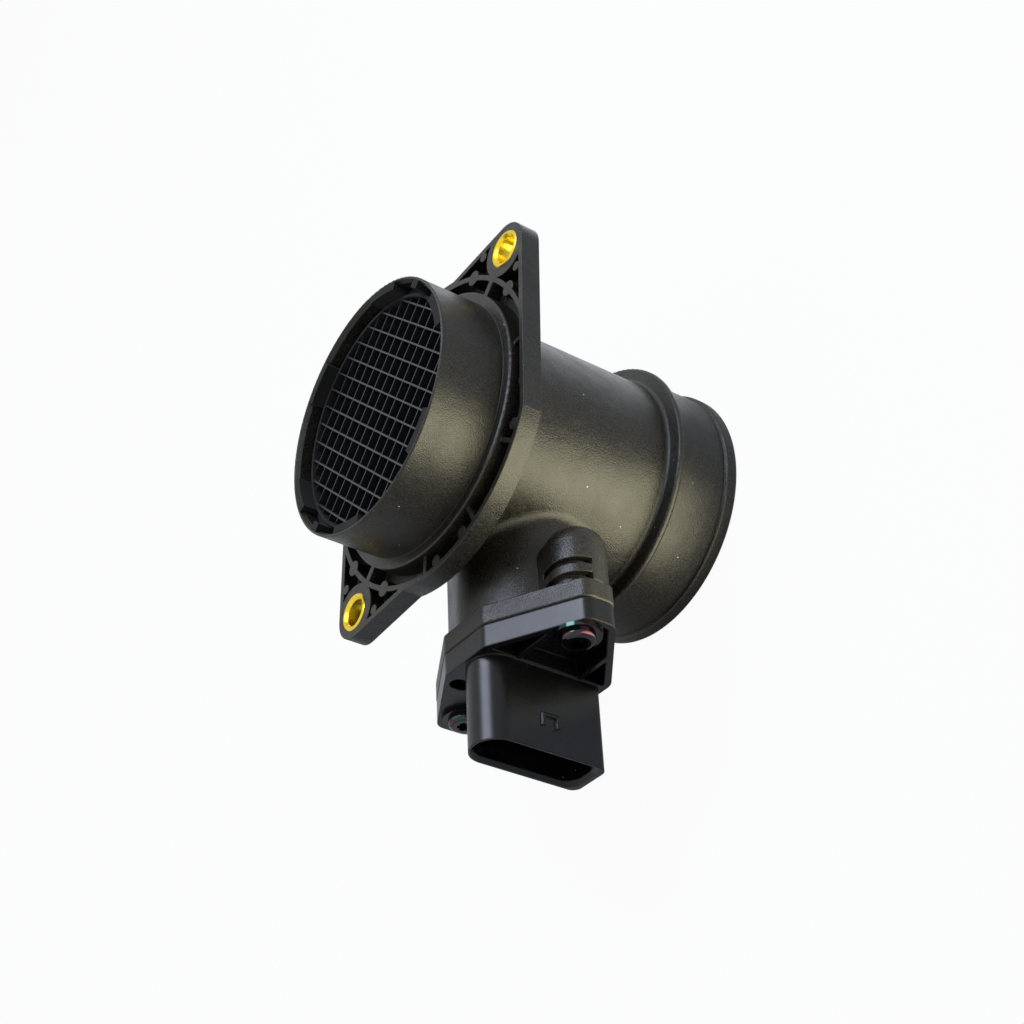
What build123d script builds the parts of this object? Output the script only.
from build123d import *
from math import cos, radians, sin, tan
import os

# Mass airflow sensor of an engine intake. Lengths in millimetres, +Z up along the air duct.
# The origin is on the duct axis at the outlet end. The electrical connector points to -Y.

# Duct and its two ends
tube_radius = 32.4
tube_wall = 2.4
bore_radius = tube_radius - tube_wall
collar_step = 2.1
collar_radius = tube_radius + collar_step
spigot_step = 1.9
spigot_radius = tube_radius + spigot_step
rim_fillet = 0.4
lip_step = 0.8
lip_radius = spigot_radius + lip_step
lip_height = 3.6
lip_fillet = 1.2
lip_back_fillet = 0.5
lip_groove = 0.2
lip_groove_height = 0.7
ring_step = 2.3
ring_radius = spigot_radius + ring_step
ring_back = 19.3
ring_width = 1.7
ring_fillet = 0.7
ring_slope = 0.5
ring_foot = 1.1

# Mounting flange with two ears on a line 45 degrees from +X
inlet_length = 24.8
flange_thickness = 5.4
shoulder_step = 1.6
shoulder_fillet = 0.5
shoulder_width = 2.75
shoulder_radius = collar_radius + shoulder_width
ear_distance = 50.0
ear_radius = 7.3
ear_slope = 41.5
flange_margin = 5.95
flange_round_radius = shoulder_radius + flange_margin
flange_wall = 1.5
pocket_depth = 4.2
rib_width = 1.2
rib_length = 9.0
rib_angles = (40.5, 70, 98.6, 139.5)
arc_rib_gap = 3.85
arc_rib_width = 1.4
arc_rib_half_length = 26.0
ear_wall = 0.5
ear_rib_width = 1.8
pad_radius = 1.5
pad_gap = 3.35
pad_angles = (47.3, 63.2, 104.6, 121)
large_pad_radius = 2.1
large_pad_side = 10.0
small_pad_radius = 1.3
small_pad_inset = 3.5
small_pad_side = 9.4

# Sleeves for the flange screws
bush_radius = 5.1
bush_bore_radius = 3.6
bush_proud = 0.3
bush_lead_in = 0.7
bush_bevel = 0.25

# Inlet recess with grid, spacer ring and wire screen
rim_width = 1.3
recess_radius = collar_radius - rim_width
recess_depth = 13.8
recess_clearance = 0.1
grid_outer = recess_radius - recess_clearance
rim_bevel = 0.7
rim_bevel_height = 1.3
screen_ring_height = 1.4
screen_ring_width = 2.5
screen_wire = 0.24
screen_pitch = 2.35
screen_rise = 0.4
screen_layer_gap = 0.04
spacer_height = 3.5
spacer_width = 2.1
grid_depth = 5.5
grid_pitch = 4.7
grid_thick_bar = 0.45
grid_thin_bar = 0.32
grid_thin_drop = 0.5
grid_ring_width = 2.7
grid_ring_bore = grid_outer - grid_ring_width
grid_ring_land = 0.8
grid_gutter = 1.2
bar_seat = 0.4
clip_count = 6
clip_turn = 15.0
clip_arc = 20.0
clip_width = 1.5
key_width = 3.0

# Boss on the side of the tube that carries the sensor insert
boss_gap = 4.7
flange_gap = 5.3
boss_radius = 17.7
boss_foot = 3.0
boss_face = 58.2
boss_flange_thickness = 5.0
boss_wall = 3.7
boss_bore_radius = boss_radius - boss_wall
screw_side = 23.1
screw_rise = 3.4
column_radius = 7.5
column_drop = 1.0
column_start = 36.0
column_dome = 5.5
column_root_radius = 7.0
small_column_radius = 3.6
small_column_start = 17.0
screw_shank_radius = 2.3
pilot_clearance = 0.05
pilot_radius = screw_shank_radius + pilot_clearance
pilot_end = 44.0
slot_width = 1.8
slot_pitch = 4.1
slot_left = 4.5
slot_core_radius = 5.0

# Plate of the insert, same outline as the boss flange
plate_thickness = 6.3
plate_right_margin = 7.2
plate_right_end = screw_side + plate_right_margin
plate_left_margin = 7.7
plate_left_end = screw_side + plate_left_margin
plate_top = 18.9
plate_low = 18.2
plate_top_right = 6.5
plate_top_left = 9.2
plate_low_side = 8.5
plate_top_slope = 29.0
plate_low_slope = 36.0
plate_end_radius = 3.6
plate_top_radius = 3.0
plate_low_radius = 5.0
seam_chamfer = 0.35
plate_step = 0.1
plate_pocket_depth = 4.6
plate_wall = 1.9
plate_rib = 1.4
upper_rib_rise = 8.8
lower_rib_drop = 9.4
pad_clearance = 0.2
socket_seam = 0.5
small_pocket_width = 4.3
small_pocket_height = 5.8
small_pocket_radius = 1.9
small_pocket_side = 10.65
small_pocket_rise = 13.2

# Connector socket
socket_face = 87.2
socket_half_width = 6.45
socket_drop = 16.8
socket_rise = 17.9
socket_wall = 1.3
socket_low_wall = 2.2
socket_floor = 67.5
socket_low_radius = 2.4
socket_top_land = 0.2
cavity_low_radius = 3.6
lead_in = 0.85
lead_in_depth = 1.0
catch_depth = 78.8
catch_length = 3.4
catch_width = 5.0
catch_height = 0.6
catch_bar = 0.8
terminal_count = 5
terminal_pitch = 4.0
terminal_width = 2.3
terminal_thickness = 0.8
terminal_tip = 80.0
terminal_bevel = 0.7
terminal_foot = 2.0

# Probe that reaches from the plate into the air duct
insert_gap = 0.2
seal_section = 2.0
seal_squeeze = 0.05
seal_bevel = 0.4
seal_depth = 51.5
groove_width = 2.6
groove_floor = 0.1
spigot_end = 44.0
probe_back = -4.3
probe_front = 6.3
probe_half_height = 11.5
probe_corner_radius = 2.0
probe_end = -9.0
chamber_floor = -1.8
chamber_wall = 1.6
chamber_start = 43.0
lid_thickness = 1.5
lid_ledge = 0.9
lid_clearance = 0.1
divider_outer = 9.0
divider_inner = 6.5
channel_end = -7.2
air_way_width = 5.0
air_way_length = 8.0
air_way_place = 1.5
air_way_depth = -0.4
base_thickness = 1.5
base_top = chamber_floor + base_thickness
board_thickness = terminal_thickness / 2 - base_top
board_margin = 0.5
board_half_height = 9.4
board_outer = 40.0
board_inner = 11.0

# Parts on the board and in the air channel
chip_width = 6.0
chip_height = 5.0
chip_thickness = 0.9
chip_depth = 27.0
small_part_width = 1.0
small_part_height = 2.0
small_part_thickness = 0.7
small_part_pitch = 4.0
small_part_count = 4
small_part_outer = 34.0
small_part_inner = 18.0
ribbon_thickness = 0.2
ribbon_length = 3.6
ribbon_width = 0.8
holder_place = 0.3
holder_thickness = 1.2
holder_width = 6.0
holder_end = 1.2
holder_clearance = 0.1
element_thickness = 0.5
element_length = 3.4
element_width = 3.0
element_depth = 3.6

# Plate screws
screw_flange_radius = 5.8
screw_flange_height = 1.0
screw_dome_radius = 4.3
screw_dome_fillet = 1.3
screw_dome_height = 2.8
screw_length = 18.5
hole_clearance = 0.45
screw_hole_radius = screw_shank_radius + hole_clearance
star_width = 1.5
star_length = 4.2
star_depth = 2.0

# Heights and depths that follow from the sizes above
ear_line = (1, 1, 0)
beyond = 4 * ear_distance
ring_front = ring_back + ring_width
sensor_height = ring_front + ring_slope + ring_foot + boss_gap + boss_radius
flange_back = sensor_height + boss_radius + flange_gap
flange_front = flange_back + flange_thickness
length = flange_back + inlet_length
shoulder_front = flange_front + shoulder_step
ledge_height = length - recess_depth
grid_front = ledge_height + screen_ring_height + spacer_height + grid_depth
grid_back = grid_front - grid_depth
screw_height = sensor_height + screw_rise
flange_depth = boss_face - boss_flange_thickness
plate_face = boss_face + plate_thickness
socket_low = sensor_height - socket_drop
socket_high = sensor_height + socket_rise
socket_middle = (socket_low + socket_high) / 2
top_of_chamber = probe_front - lid_thickness
board_top = base_top + board_thickness
lid_split = (divider_outer + divider_inner) / 2


# Plane across the duct with local x on the line of the ears
def across(height):
    return Plane(origin=(0, 0, height), x_dir=ear_line, z_dir=(0, 0, 1))


# Plane across the sensor axis, facing out to -Y, with local x on X and local y on Z
def facing_out(depth):
    return Plane(origin=(0, -depth, 0), x_dir=(1, 0, 0), z_dir=(0, -1, 0))


# Plane across X at the given place, with local x on Y and local y on Z
def side_plane(place):
    return Plane(origin=(place, 0, 0), x_dir=(0, 1, 0), z_dir=(1, 0, 0))


# Corner of the current outline that lies nearest to a point
def nearest(corners, x, y):
    return corners.sort_by_distance(Vector(x, y, 0))[0]


# Outline of the flange, made smaller by a margin
def flange_outline(margin):
    slope = radians(ear_slope)
    reach = ear_distance * sin(slope) + ear_radius - margin
    tip = reach / sin(slope)
    side = reach / cos(slope)
    with BuildSketch() as outline:
        Polygon((tip, 0), (0, side), (-tip, 0), (0, -side))
        fillet(outline.vertices().group_by(Axis.X)[0], ear_radius - margin)
        fillet(outline.vertices().group_by(Axis.X)[-1], ear_radius - margin)
        with BuildSketch(mode=Mode.INTERSECT):
            Circle(flange_round_radius - margin)
            Rectangle(beyond, flange_round_radius)
        with BuildSketch():
            Circle(flange_round_radius - margin)
            with Locations((shoulder_radius, shoulder_radius), (-shoulder_radius, -shoulder_radius)):
                Rectangle(2 * shoulder_radius, 2 * shoulder_radius, mode=Mode.INTERSECT)
    return outline.sketch


# Lozenge outline shared by the boss flange and the insert plate, in local X and Z
def plate_outline(margin):
    top = sensor_height + plate_top
    low = sensor_height - plate_low
    right_rise = tan(radians(plate_top_slope)) * (plate_right_end - plate_top_right)
    left_rise = tan(radians(plate_top_slope)) * (plate_left_end - plate_top_left)
    right_drop = tan(radians(plate_low_slope)) * (plate_right_end - plate_low_side)
    left_drop = tan(radians(plate_low_slope)) * (plate_left_end - plate_low_side)
    ends = [(plate_right_end, low + right_drop), (plate_right_end, top - right_rise)]
    ends += [(-plate_left_end, top - left_rise), (-plate_left_end, low + left_drop)]
    tops = [(plate_top_right, top), (-plate_top_left, top)]
    lows = [(-plate_low_side, low), (plate_low_side, low)]
    with BuildSketch() as outline:
        Polygon(*ends[:2], *tops, *ends[2:], *lows, align=None)
        for corners, radius in ((ends, plate_end_radius), (tops, plate_top_radius), (lows, plate_low_radius)):
            for x, y in corners:
                fillet(nearest(outline.vertices(), x, y), radius)
        if margin > 0:
            offset(amount=-margin)
    return outline.sketch


# Outline of the connector socket: round at the upper end, square at the lower end
def socket_outline(margin, low_margin, low_radius):
    half = socket_half_width - margin
    low = socket_low + low_margin
    high = socket_high - margin
    with BuildSketch() as outline:
        Polygon((-half, low), (half, low), (half, high), (-half, high), align=None)
        for sign in (-1, 1):
            fillet(nearest(outline.vertices(), sign * half, high), half - socket_top_land)
            fillet(nearest(outline.vertices(), sign * half, low), low_radius)
    return outline.sketch


# Heights of the connector terminals, the same in the socket and in the board chamber
heights = []
for place in range(terminal_count):
    heights.append(socket_middle + terminal_pitch * (place - (terminal_count - 1) / 2))


# Domed column round the screw on the +X side, with a root that runs into the boss
with BuildPart() as screw_column:
    with BuildSketch(facing_out(column_start)):
        with Locations((screw_side, screw_height - column_drop)):
            Circle(column_radius)
        with Locations((boss_radius - column_root_radius, sensor_height)):
            Circle(column_root_radius)
        make_hull()
    extrude(amount=flange_depth - column_start)
    fillet(screw_column.faces().sort_by(Axis.Y)[-1].edges(), column_dome)


# Housing: one moulding of collar, flange, tube, boss, step ring, spigot and lip
with BuildPart() as housing:
    with BuildSketch(Plane.XZ) as profile:
        points = [(0, 0), (lip_radius, 0), (lip_radius, lip_height)]
        points += [(spigot_radius - lip_groove, lip_height + lip_groove_height / 2)]
        points += [(spigot_radius, lip_height + lip_groove_height)]
        points += [(spigot_radius, ring_back), (ring_radius, ring_back), (ring_radius, ring_front)]
        points += [(tube_radius, ring_front + ring_slope)]
        points += [(tube_radius, flange_back + shoulder_step)]
        points += [(collar_radius, flange_back + shoulder_step), (collar_radius, length), (0, length)]
        Polygon(*points, align=None)
        fillet(nearest(profile.vertices(), lip_radius, 0), lip_fillet)
        fillet(nearest(profile.vertices(), lip_radius, lip_height), lip_back_fillet)
        fillet(nearest(profile.vertices(), ring_radius, ring_back), ring_fillet)
        fillet(nearest(profile.vertices(), ring_radius, ring_front), ring_fillet)
        fillet(nearest(profile.vertices(), tube_radius, ring_front + ring_slope), ring_foot)
        fillet(nearest(profile.vertices(), collar_radius, length), rim_fillet)
    revolve(axis=Axis.Z)

    # Round boss, blended into the tube
    with BuildSketch(facing_out(boss_face)):
        with Locations((0, sensor_height)):
            Circle(boss_radius)
    extrude(amount=-boss_face)
    foot = housing.edges().filter_by(lambda e: e.geom_type not in (GeomType.LINE, GeomType.CIRCLE))
    fillet(foot, boss_foot)

    # Flange plate and shoulder ring
    with BuildSketch(across(flange_back)):
        add(flange_outline(0))
    extrude(amount=flange_thickness)
    with BuildSketch(across(flange_back + shoulder_step)):
        Circle(shoulder_radius)
    extrude(amount=flange_thickness)
    fillet(housing.edges().filter_by(GeomType.CIRCLE).filter_by(
        lambda e: abs(e.radius - shoulder_radius) < 0.01 and abs(e.center().Z - shoulder_front) < 0.01),
        shoulder_fillet)

    # Flange of the boss
    with BuildSketch(facing_out(boss_face)):
        add(plate_outline(0))
    extrude(amount=-boss_flange_thickness)
    seam = housing.faces().sort_by(Axis.Y)[0]
    chamfer(seam.edges(), seam_chamfer)

    # Large column on the +X side, and two slots that lighten it
    add(screw_column.part)
    for rise in (slot_width, slot_width + slot_pitch):
        with BuildSketch(facing_out(flange_depth - rise)):
            with Locations((screw_side - slot_left, screw_height)):
                Rectangle(2 * column_radius, 2 * column_radius, align=(Align.MIN, Align.MIN))
            with Locations((screw_side, screw_height)):
                Circle(slot_core_radius, mode=Mode.SUBTRACT)
        extrude(amount=slot_width, mode=Mode.SUBTRACT)

    # Small column on the -X side, with a web that runs tangent into the boss
    with BuildSketch(facing_out(small_column_start)):
        with Locations((-screw_side, screw_height)):
            Circle(small_column_radius)
        with Locations((0, sensor_height)):
            Circle(boss_radius)
        make_hull()
    extrude(amount=flange_depth - small_column_start)

    # Bore of the duct, and recess for the grid with a bevelled rim
    with BuildSketch(Plane.XZ):
        points = [(0, 0), (bore_radius, 0), (bore_radius, ledge_height), (recess_radius, ledge_height)]
        points += [(recess_radius, length - rim_bevel_height), (recess_radius + rim_bevel, length)]
        Polygon(*points, (0, length), align=None)
    revolve(axis=Axis.Z, mode=Mode.SUBTRACT)

    # Bore of the boss, which opens into the duct
    with BuildSketch(facing_out(boss_face)):
        with Locations((0, sensor_height)):
            Circle(boss_bore_radius)
    extrude(amount=-boss_face, mode=Mode.SUBTRACT)

    # Holes for the two plate screws
    with BuildSketch(facing_out(boss_face)):
        with Locations((screw_side, screw_height), (-screw_side, screw_height)):
            Circle(pilot_radius)
    extrude(amount=pilot_end - boss_face, mode=Mode.SUBTRACT)

    # Holes for the two sleeves
    with BuildSketch(across(flange_back)):
        with Locations((ear_distance, 0), (-ear_distance, 0)):
            Circle(bush_radius)
    extrude(amount=flange_thickness, mode=Mode.SUBTRACT)

    # Pockets in the flange face, left between wall, ribs and ejector pads
    with BuildSketch(across(flange_front)):
        add(flange_outline(flange_wall))
        Circle(shoulder_radius, mode=Mode.SUBTRACT)
        for side in (-1, 1):
            with Locations((side * ear_distance, 0)):
                Circle(ear_radius + ear_wall, mode=Mode.SUBTRACT)
                Rectangle(2 * (ear_distance - tube_radius), ear_rib_width, mode=Mode.SUBTRACT)
            for turn in (-1, 1):
                with Locations((side * (shoulder_radius + pad_gap), turn * large_pad_side)):
                    Circle(large_pad_radius, mode=Mode.SUBTRACT)
                with Locations((side * (ear_distance - small_pad_inset), turn * small_pad_side)):
                    Circle(small_pad_radius, mode=Mode.SUBTRACT)
            for angle in rib_angles:
                with PolarLocations(shoulder_radius + pad_gap, 1, start_angle=angle - 90 + 90 * side):
                    Rectangle(rib_length, rib_width, mode=Mode.SUBTRACT)
            for angle in pad_angles:
                with PolarLocations(shoulder_radius + pad_gap, 1, start_angle=angle - 90 + 90 * side):
                    Circle(pad_radius, mode=Mode.SUBTRACT)
        with BuildSketch(mode=Mode.SUBTRACT):
            Circle(shoulder_radius + arc_rib_gap + arc_rib_width)
            Circle(shoulder_radius + arc_rib_gap, mode=Mode.SUBTRACT)
            Rectangle(beyond, 2 * arc_rib_half_length, mode=Mode.INTERSECT)
    extrude(amount=-pocket_depth, mode=Mode.SUBTRACT)
housing.part.label = "housing"


# Sleeve of one flange hole
def bush(side):
    with BuildPart() as sleeve:
        with BuildSketch(across(flange_back)):
            with Locations((side * ear_distance, 0)):
                Circle(bush_radius)
                Circle(bush_bore_radius, mode=Mode.SUBTRACT)
        extrude(amount=flange_thickness + bush_proud)
        chamfer(sleeve.faces().sort_by(Axis.Z)[-1].inner_wires()[0].edges(), bush_lead_in)
        chamfer(sleeve.faces().sort_by(Axis.Z)[-1].outer_wire().edges(), bush_bevel)
    return sleeve.part


bush_upper = bush(1)
bush_upper.label = "bush_upper"
bush_lower = bush(-1)
bush_lower.label = "bush_lower"


# Clips of the grid: arcs of a ring that rise to the rim and fill its bevel, and two short keys
with BuildPart() as clips:
    with BuildSketch(Plane.XZ):
        inner = grid_outer - clip_width
        low = grid_front - grid_gutter
        points = [(inner, low), (grid_outer, low), (grid_outer, length - rim_bevel_height)]
        Polygon(*points, (grid_outer + rim_bevel, length), (inner, length), align=None)
    revolve(axis=Axis.Z)
    with BuildSketch(Plane.XY.offset(low)):
        far = 2 * recess_radius
        side = far * tan(radians(clip_arc / 2))
        with PolarLocations(0, clip_count, start_angle=clip_turn):
            Polygon((0, 0), (far, -side), (far, side), align=None)
        with PolarLocations(recess_radius, 2, start_angle=45):
            Rectangle(2 * key_width, key_width)
    extrude(amount=length - low, mode=Mode.INTERSECT)


# Flow grid: ring with a lowered outer part, crossed bars, and clips that hold it in the collar
with BuildPart() as flow_grid:
    with BuildSketch(across(grid_back)):
        Circle(grid_outer)
        Circle(grid_ring_bore, mode=Mode.SUBTRACT)
    extrude(amount=grid_depth - grid_gutter)
    with BuildSketch(across(grid_back)):
        Circle(grid_ring_bore + grid_ring_land)
        Circle(grid_ring_bore, mode=Mode.SUBTRACT)
    extrude(amount=grid_depth)
    steps = int(grid_ring_bore / grid_pitch)
    with BuildSketch(across(grid_back)):
        with GridLocations(grid_pitch, 0, 2 * steps + 1, 1):
            Rectangle(grid_thick_bar, beyond)
        Circle(grid_ring_bore + bar_seat, mode=Mode.INTERSECT)
    extrude(amount=grid_depth)
    with BuildSketch(across(grid_back)):
        with GridLocations(0, grid_pitch, 1, 2 * steps):
            Rectangle(beyond, grid_thin_bar)
        Circle(grid_ring_bore + bar_seat, mode=Mode.INTERSECT)
    extrude(amount=grid_depth - grid_thin_drop)
    add(clips.part)
flow_grid.part.label = "flow_grid"


# Spacer ring between grid and screen
with BuildPart() as spacer_ring:
    with BuildSketch(Plane.XY.offset(ledge_height + screen_ring_height)):
        Circle(grid_outer)
        Circle(grid_outer - spacer_width, mode=Mode.SUBTRACT)
    extrude(amount=spacer_height)
spacer_ring.part.label = "spacer_ring"


# Wire screen: two layers of wires pressed into a ring
with BuildPart() as wire_screen:
    screen_bore = grid_outer - screen_ring_width
    with BuildSketch(Plane.XY.offset(ledge_height)):
        Circle(grid_outer)
        Circle(screen_bore, mode=Mode.SUBTRACT)
    extrude(amount=screen_ring_height)
    wires = 2 * int(screen_bore / screen_pitch) + 1
    first_layer = ledge_height + screen_rise
    with BuildSketch(across(first_layer)):
        with GridLocations(screen_pitch, 0, wires, 1):
            Rectangle(screen_wire, beyond)
        Circle(screen_bore + bar_seat, mode=Mode.INTERSECT)
    extrude(amount=screen_wire)
    with BuildSketch(across(first_layer + screen_wire + screen_layer_gap)):
        with GridLocations(0, screen_pitch, 1, wires):
            Rectangle(beyond, screen_wire)
        Circle(screen_bore + bar_seat, mode=Mode.INTERSECT)
    extrude(amount=screen_wire)
wire_screen.part.label = "wire_screen"


# Connector terminals: flat blades bevelled at the tip, from the socket to the board chamber
terminals = []
for place, height in enumerate(heights):
    with BuildPart() as blade:
        with BuildSketch(side_plane(-terminal_thickness / 2)):
            foot_end = terminal_foot - chamber_start
            side = terminal_width / 2
            bevel_start = terminal_bevel - terminal_tip
            points = [(foot_end, height - side), (foot_end, height + side), (bevel_start, height + side)]
            points += [(-terminal_tip, height + side - terminal_bevel)]
            points += [(-terminal_tip, height - side + terminal_bevel), (bevel_start, height - side)]
            Polygon(*points, align=None)
        extrude(amount=terminal_thickness)
    blade.part.label = f"terminal_{place + 1}"
    terminals.append(blade.part)


# Sensor insert: plate, connector socket and probe in one moulding
with BuildPart() as insert:
    with BuildSketch(facing_out(boss_face)):
        add(plate_outline(plate_step))
    extrude(amount=plate_thickness)
    chamfer(insert.faces().sort_by(Axis.Y)[-1].edges(), seam_chamfer)

    # Pockets in the outer face: three between ribs on the +X side, one small one on the -X side
    with BuildSketch(facing_out(plate_face)):
        add(plate_outline(plate_wall))
        with Locations((socket_half_width + socket_seam, sensor_height)):
            Rectangle(beyond, beyond, align=(Align.MIN, Align.CENTER), mode=Mode.INTERSECT)
        with Locations((screw_side, screw_height)):
            Circle(screw_flange_radius + pad_clearance, mode=Mode.SUBTRACT)
        with Locations((0, sensor_height + upper_rib_rise), (0, sensor_height - lower_rib_drop)):
            Rectangle(beyond, plate_rib, mode=Mode.SUBTRACT)
        with Locations((-small_pocket_side, sensor_height + small_pocket_rise)):
            RectangleRounded(small_pocket_width, small_pocket_height, small_pocket_radius)
    extrude(amount=-plate_pocket_depth, mode=Mode.SUBTRACT)

    # Spigot in the bore of the boss, with the groove of the seal ring
    with BuildSketch(facing_out(spigot_end)):
        with Locations((0, sensor_height)):
            Circle(boss_bore_radius - insert_gap)
    extrude(amount=boss_face - spigot_end)
    with BuildSketch(facing_out(seal_depth - groove_width / 2)):
        with Locations((0, sensor_height)):
            Circle(boss_bore_radius)
            Circle(boss_bore_radius - seal_section - seal_squeeze - groove_floor, mode=Mode.SUBTRACT)
    extrude(amount=groove_width, mode=Mode.SUBTRACT)

    # Probe body
    with BuildSketch(facing_out(probe_end)):
        with Locations(((probe_back + probe_front) / 2, sensor_height)):
            RectangleRounded(probe_front - probe_back, 2 * probe_half_height, probe_corner_radius)
    extrude(amount=spigot_end - probe_end)

    # Connector socket with its lead-in and small catch
    with BuildSketch(facing_out(plate_face - plate_pocket_depth)):
        add(socket_outline(0, 0, socket_low_radius))
    extrude(amount=socket_face - plate_face + plate_pocket_depth)
    with BuildSketch(facing_out(socket_floor)):
        add(socket_outline(socket_wall, socket_low_wall, cavity_low_radius))
    extrude(amount=socket_face - socket_floor, mode=Mode.SUBTRACT)
    with BuildSketch(facing_out(socket_face - lead_in_depth)):
        add(socket_outline(socket_wall, socket_low_wall, cavity_low_radius))
    with BuildSketch(facing_out(socket_face)):
        add(socket_outline(socket_wall - lead_in, socket_low_wall - lead_in, cavity_low_radius))
    loft(mode=Mode.SUBTRACT)
    catch_side = (catch_width - catch_bar) / 2
    for rise in (-catch_side, catch_side):
        with Locations((socket_half_width, -catch_depth, sensor_height + rise)):
            Box(2 * catch_height, catch_length, catch_bar)
    with Locations((socket_half_width, (catch_length - catch_bar) / 2 - catch_depth, sensor_height)):
        Box(2 * catch_height, catch_bar, catch_width)

    # Board chamber and air channel, open to +X, with a ledge for the two lids
    with BuildSketch(side_plane(chamber_floor)):
        with Locations((-(chamber_start + divider_outer) / 2, sensor_height)):
            Rectangle(chamber_start - divider_outer, 2 * (probe_half_height - chamber_wall))
        with Locations((-(divider_inner + channel_end) / 2, sensor_height)):
            Rectangle(divider_inner - channel_end, 2 * (probe_half_height - chamber_wall))
    extrude(amount=probe_front - chamber_floor, mode=Mode.SUBTRACT)
    with BuildSketch(side_plane(top_of_chamber)):
        with Locations((-(chamber_start + channel_end) / 2, sensor_height)):
            Rectangle(chamber_start - channel_end + 2 * lid_ledge,
                      2 * (probe_half_height - chamber_wall + lid_ledge))
    extrude(amount=lid_thickness, mode=Mode.SUBTRACT)

    # Air way through the channel: in on the inlet side, out on the outlet side
    with Locations((air_way_place, -air_way_depth, sensor_height)):
        Box(air_way_width, air_way_length, 2 * (probe_half_height + chamber_wall), mode=Mode.SUBTRACT)

    # Passage in the divider for the sensor holder
    with Locations((holder_place, -lid_split, sensor_height)):
        Box(holder_thickness + 2 * holder_clearance, divider_outer, holder_width + 2 * holder_clearance,
            mode=Mode.SUBTRACT)

    # Holes for the plate screws
    with BuildSketch(facing_out(boss_face)):
        with Locations((screw_side, screw_height), (-screw_side, screw_height)):
            Circle(screw_hole_radius)
    extrude(amount=plate_thickness, mode=Mode.SUBTRACT)

    for blade in terminals:
        add(blade, mode=Mode.SUBTRACT)
insert.part.label = "sensor_insert"


# Seal ring between the insert and the bore of the boss
with BuildPart() as seal_ring:
    with BuildSketch(facing_out(seal_depth - seal_section / 2)):
        with Locations((0, sensor_height)):
            Circle(boss_bore_radius - seal_squeeze)
            Circle(boss_bore_radius - seal_squeeze - seal_section, mode=Mode.SUBTRACT)
    extrude(amount=seal_section)
    chamfer(seal_ring.edges().filter_by(GeomType.CIRCLE), seal_bevel)
seal_ring.part.label = "seal_ring"


# Lids of the board chamber and of the air channel, side by side in one ledge
lid_half_height = probe_half_height - chamber_wall + lid_ledge - lid_clearance
with BuildPart() as board_lid:
    with BuildSketch(side_plane(top_of_chamber)):
        outer = chamber_start + lid_ledge - lid_clearance
        inner = lid_split + lid_clearance
        with Locations((-(outer + inner) / 2, sensor_height)):
            Rectangle(outer - inner, 2 * lid_half_height)
    extrude(amount=lid_thickness)
board_lid.part.label = "board_lid"

with BuildPart() as channel_lid:
    with BuildSketch(side_plane(top_of_chamber)):
        outer = lid_split - lid_clearance
        inner = channel_end - lid_ledge + lid_clearance
        with Locations((-(outer + inner) / 2, sensor_height)):
            Rectangle(outer - inner, 2 * lid_half_height)
    extrude(amount=lid_thickness)
channel_lid.part.label = "channel_lid"


# Metal base plate under the board
with BuildPart() as base_plate:
    with BuildSketch(side_plane(chamber_floor)):
        with Locations((-(board_outer + board_inner) / 2, sensor_height)):
            Rectangle(board_outer - board_inner, 2 * board_half_height)
    extrude(amount=base_thickness)
base_plate.part.label = "base_plate"


# Ceramic board
with BuildPart() as circuit_board:
    with BuildSketch(side_plane(base_top)):
        with Locations((-(board_outer + board_inner) / 2, sensor_height)):
            Rectangle(board_outer - board_inner - 2 * board_margin, 2 * (board_half_height - board_margin))
    extrude(amount=board_thickness)
circuit_board.part.label = "circuit_board"


# Control chip and small parts on the board
with BuildPart() as control_chip:
    with BuildSketch(side_plane(board_top)):
        with Locations((-chip_depth, sensor_height)):
            Rectangle(chip_width, chip_height)
    extrude(amount=chip_thickness)
control_chip.part.label = "control_chip"

with BuildPart() as small_parts:
    with BuildSketch(side_plane(board_top)):
        for depth in (small_part_outer, small_part_inner):
            with Locations((-depth, sensor_height)):
                with GridLocations(0, small_part_pitch, 1, small_part_count):
                    Rectangle(small_part_width, small_part_height)
    extrude(amount=small_part_thickness)
small_parts.part.label = "small_parts"


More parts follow.
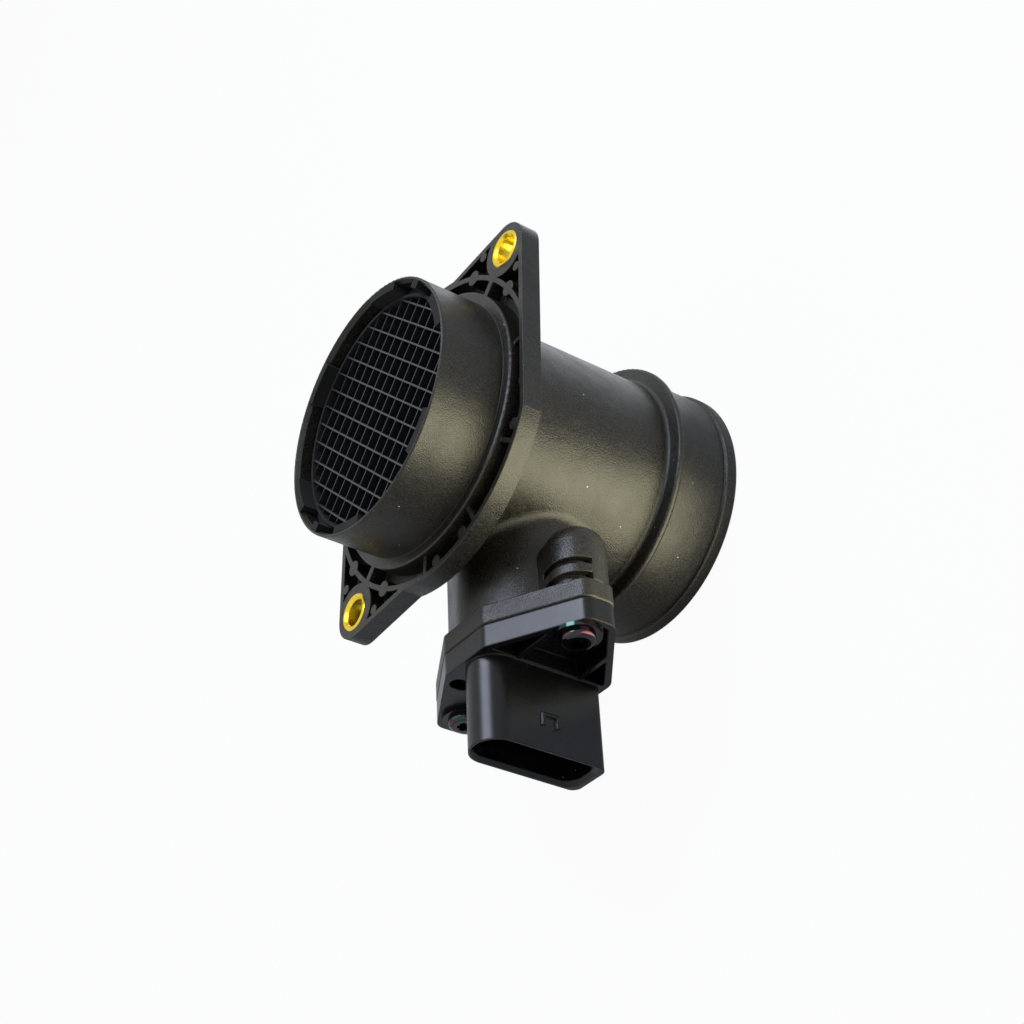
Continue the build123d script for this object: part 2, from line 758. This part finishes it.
# Bond ribbons from the terminals to the board
with BuildPart() as bond_ribbons:
    ribbon_place = board_top + ribbon_thickness / 2
    for height in heights:
        with Locations((ribbon_place, terminal_foot - chamber_start, height)):
            Box(ribbon_thickness, ribbon_length, ribbon_width)
bond_ribbons.part.label = "bond_ribbons"


# Holder that carries the sensing element through the divider into the air channel
with BuildPart() as element_holder:
    holder_start = board_inner - 2 * board_margin
    with Locations((holder_place, -(holder_start + holder_end) / 2, sensor_height)):
        Box(holder_thickness, holder_start - holder_end, holder_width)
element_holder.part.label = "element_holder"

# Sensing element: thin heated chip on the holder
with BuildPart() as sensing_element:
    element_place = holder_place + (holder_thickness + element_thickness) / 2
    with Locations((element_place, -element_depth, sensor_height)):
        Box(element_thickness, element_length, element_width)
sensing_element.part.label = "sensing_element"


# Screws of the plate: flanged domed head with a six-pointed recess, plain shank
with BuildPart() as plate_screws:
    places = Locations((screw_side, screw_height), (-screw_side, screw_height))
    with BuildSketch(facing_out(plate_face + screw_flange_height)):
        with places:
            Circle(screw_dome_radius)
    extrude(amount=screw_dome_height - screw_flange_height)
    with BuildSketch(facing_out(plate_face)):
        with places:
            Circle(screw_flange_radius)
    extrude(amount=screw_flange_height)
    fillet(plate_screws.faces().group_by(Axis.Y)[0].edges(), screw_dome_fillet)
    with BuildSketch(facing_out(plate_face)):
        with places:
            Circle(screw_shank_radius)
    extrude(amount=-screw_length)
    with BuildSketch(facing_out(plate_face + screw_dome_height)):
        with places:
            for angle in (0, 60, 120):
                Rectangle(star_length, star_width, rotation=angle)
    extrude(amount=-star_depth, mode=Mode.SUBTRACT)
plate_screws.part.label = "plate_screws"


os.makedirs("parts", exist_ok=True)
pieces = [housing.part, bush_upper, bush_lower, flow_grid.part, spacer_ring.part, wire_screen.part]
pieces += [insert.part, seal_ring.part, board_lid.part, channel_lid.part, base_plate.part]
pieces += [circuit_board.part, control_chip.part, small_parts.part, bond_ribbons.part]
pieces += [element_holder.part, sensing_element.part, plate_screws.part] + terminals
for piece in pieces:
    export_step(piece, f"parts/{piece.label}.step")
    box = piece.bounding_box()
    print(piece.label, "solids", len(piece.solids()), "volume", round(piece.volume),
          "z", round(box.min.Z, 2), round(box.max.Z, 2))
